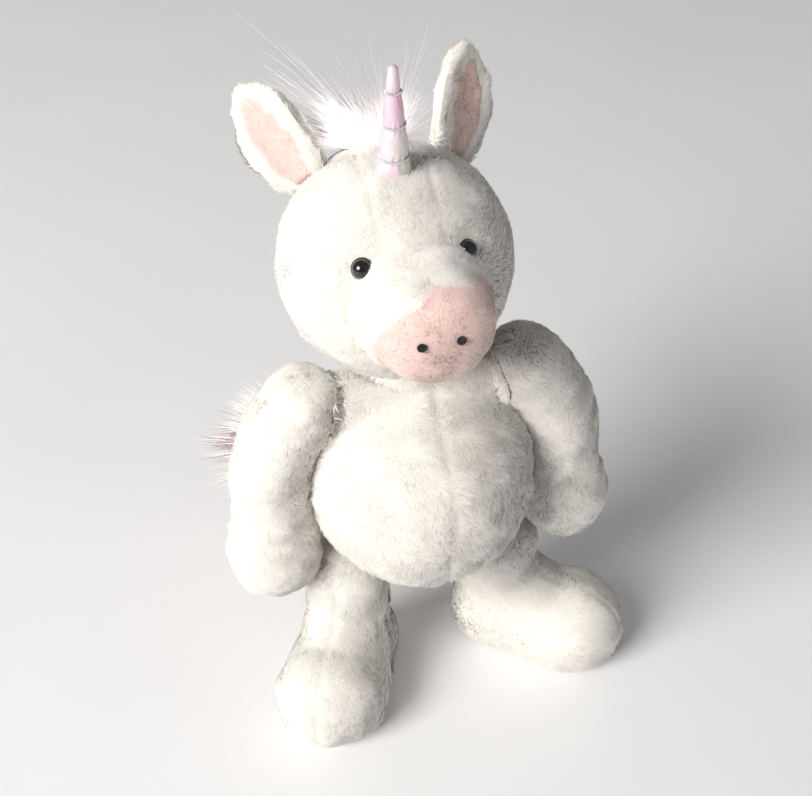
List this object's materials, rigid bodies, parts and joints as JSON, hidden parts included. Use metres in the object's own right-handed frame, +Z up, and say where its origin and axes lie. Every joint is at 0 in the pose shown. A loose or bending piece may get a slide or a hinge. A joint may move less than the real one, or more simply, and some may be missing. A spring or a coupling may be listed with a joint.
{
  "type": "plush unicorn",
  "caption": "Standing plush unicorn with a round head, stuffed horn, cupped ears, long-pile mane and tail, hanging arms and weighted feet, sewn as movable parts.",
  "frame": {"origin": "on the floor, under the middle of the whole toy's bounding box", "axes": "+Z up, the toy faces -Y, its own left side is +X"},
  "size_m": [0.188, 0.1718, 0.314],
  "materials": {
    "cream_plush": "matte",
    "pink_plush": "matte",
    "horn_cloth": "satin",
    "silver_thread": "gloss",
    "mane_pile": "satin",
    "tail_pile": "satin",
    "black_thread": "satin",
    "white_label": "satin",
    "polyester_filling": "matte",
    "pellets": "matte",
    "eye_plastic": "gloss",
    "washer_plastic": "matte"
  },
  "bodies": {
    "torso": {"front_left_body_panel": "cream_plush", "front_right_body_panel": "cream_plush", "back_left_body_panel": "cream_plush", "back_right_body_panel": "cream_plush", "belly_seam": "cream_plush", "back_seam": "cream_plush", "body_stuffing": "polyester_filling", "bean_pouch": "pellets", "care_label": "white_label"},
    "neck": {"neck_stuffing": "polyester_filling"},
    "head": {"left_head_panel": "cream_plush", "right_head_panel": "cream_plush", "crown_gusset": "cream_plush", "head_stuffing": "polyester_filling", "muzzle_cover": "pink_plush", "muzzle_stuffing": "polyester_filling", "left_nostril": "black_thread", "right_nostril": "black_thread", "left_eye": "eye_plastic", "right_eye": "eye_plastic", "left_eye_washer": "washer_plastic", "right_eye_washer": "washer_plastic", "horn_cover": "horn_cloth", "horn_stuffing": "polyester_filling", "horn_thread": "silver_thread", "mane": "mane_pile"},
    "left_ear": {"left_ear_back": "cream_plush", "left_ear_lining": "pink_plush"},
    "right_ear": {"right_ear_back": "cream_plush", "right_ear_lining": "pink_plush"},
    "left_shoulder": {"left_shoulder_tab": "cream_plush"},
    "left_arm": {"left_arm_cover": "cream_plush", "left_arm_stuffing": "polyester_filling"},
    "right_shoulder": {"right_shoulder_tab": "cream_plush"},
    "right_arm": {"right_arm_cover": "cream_plush", "right_arm_stuffing": "polyester_filling"},
    "left_hip": {"left_hip_tab": "cream_plush"},
    "left_leg": {"left_leg_cover": "cream_plush", "left_sole": "cream_plush", "left_leg_stuffing": "polyester_filling", "left_foot_beans": "pellets"},
    "right_hip": {"right_hip_tab": "cream_plush"},
    "right_leg": {"right_leg_cover": "cream_plush", "right_sole": "cream_plush", "right_leg_stuffing": "polyester_filling", "right_foot_beans": "pellets"},
    "tail_root": {"tail_tab": "cream_plush"},
    "tail": {"tail_core": "pink_plush", "tail_pile": "tail_pile"}
  },
  "joints": [
    {"name": "head_turn", "type": "hinge", "parent": "torso", "child": "neck", "pos_m": [0, -0.01718, 0.16884], "axis": [0, 0.2588, 0.9659], "range_deg": [-30, 30]},
    {"name": "head_nod", "type": "hinge", "parent": "neck", "child": "head", "pos_m": [0, -0.01718, 0.16884], "axis": [1, 0, 0], "range_deg": [-15, 15]},
    {"name": "left_ear_fold", "type": "hinge", "parent": "head", "child": "left_ear", "pos_m": [0.03238, 0.01247, 0.25396], "axis": [0.7427, 0.4106, -0.5289], "range_deg": [-10, 35]},
    {"name": "right_ear_fold", "type": "hinge", "parent": "head", "child": "right_ear", "pos_m": [-0.03238, 0.01247, 0.25396], "axis": [0.6282, -0.4106, 0.6609], "range_deg": [-10, 35]},
    {"name": "left_arm_swing", "type": "hinge", "parent": "torso", "child": "left_shoulder", "pos_m": [0.05062, -0.027, 0.167], "axis": [-1, 0, 0], "range_deg": [-30, 100]},
    {"name": "left_arm_raise", "type": "hinge", "parent": "left_shoulder", "child": "left_arm", "pos_m": [0.05062, -0.027, 0.167], "axis": [0, -1, 0], "range_deg": [0, 70]},
    {"name": "right_arm_swing", "type": "hinge", "parent": "torso", "child": "right_shoulder", "pos_m": [-0.05062, -0.027, 0.167], "axis": [-1, 0, 0], "range_deg": [-30, 100]},
    {"name": "right_arm_raise", "type": "hinge", "parent": "right_shoulder", "child": "right_arm", "pos_m": [-0.05062, -0.027, 0.167], "axis": [0, 1, 0], "range_deg": [0, 70]},
    {"name": "left_leg_swing", "type": "hinge", "parent": "torso", "child": "left_hip", "pos_m": [0.038, -0.025, 0.062], "axis": [-1, 0, 0], "range_deg": [-15, 50]},
    {"name": "left_leg_spread", "type": "hinge", "parent": "left_hip", "child": "left_leg", "pos_m": [0.038, -0.025, 0.062], "axis": [0, -1, 0], "range_deg": [0, 25]},
    {"name": "right_leg_swing", "type": "hinge", "parent": "torso", "child": "right_hip", "pos_m": [-0.038, -0.025, 0.062], "axis": [-1, 0, 0], "range_deg": [-15, 50]},
    {"name": "right_leg_spread", "type": "hinge", "parent": "right_hip", "child": "right_leg", "pos_m": [-0.038, -0.025, 0.062], "axis": [0, 1, 0], "range_deg": [0, 25]},
    {"name": "tail_swing", "type": "hinge", "parent": "torso", "child": "tail_root", "pos_m": [0, 0.02232, 0.094], "axis": [0, 0, 1], "range_deg": [-110, 12]},
    {"name": "tail_lift", "type": "hinge", "parent": "tail_root", "child": "tail", "pos_m": [0, 0.02232, 0.094], "axis": [0.5299, 0.848, 0], "range_deg": [-20, 40]}
  ]
}
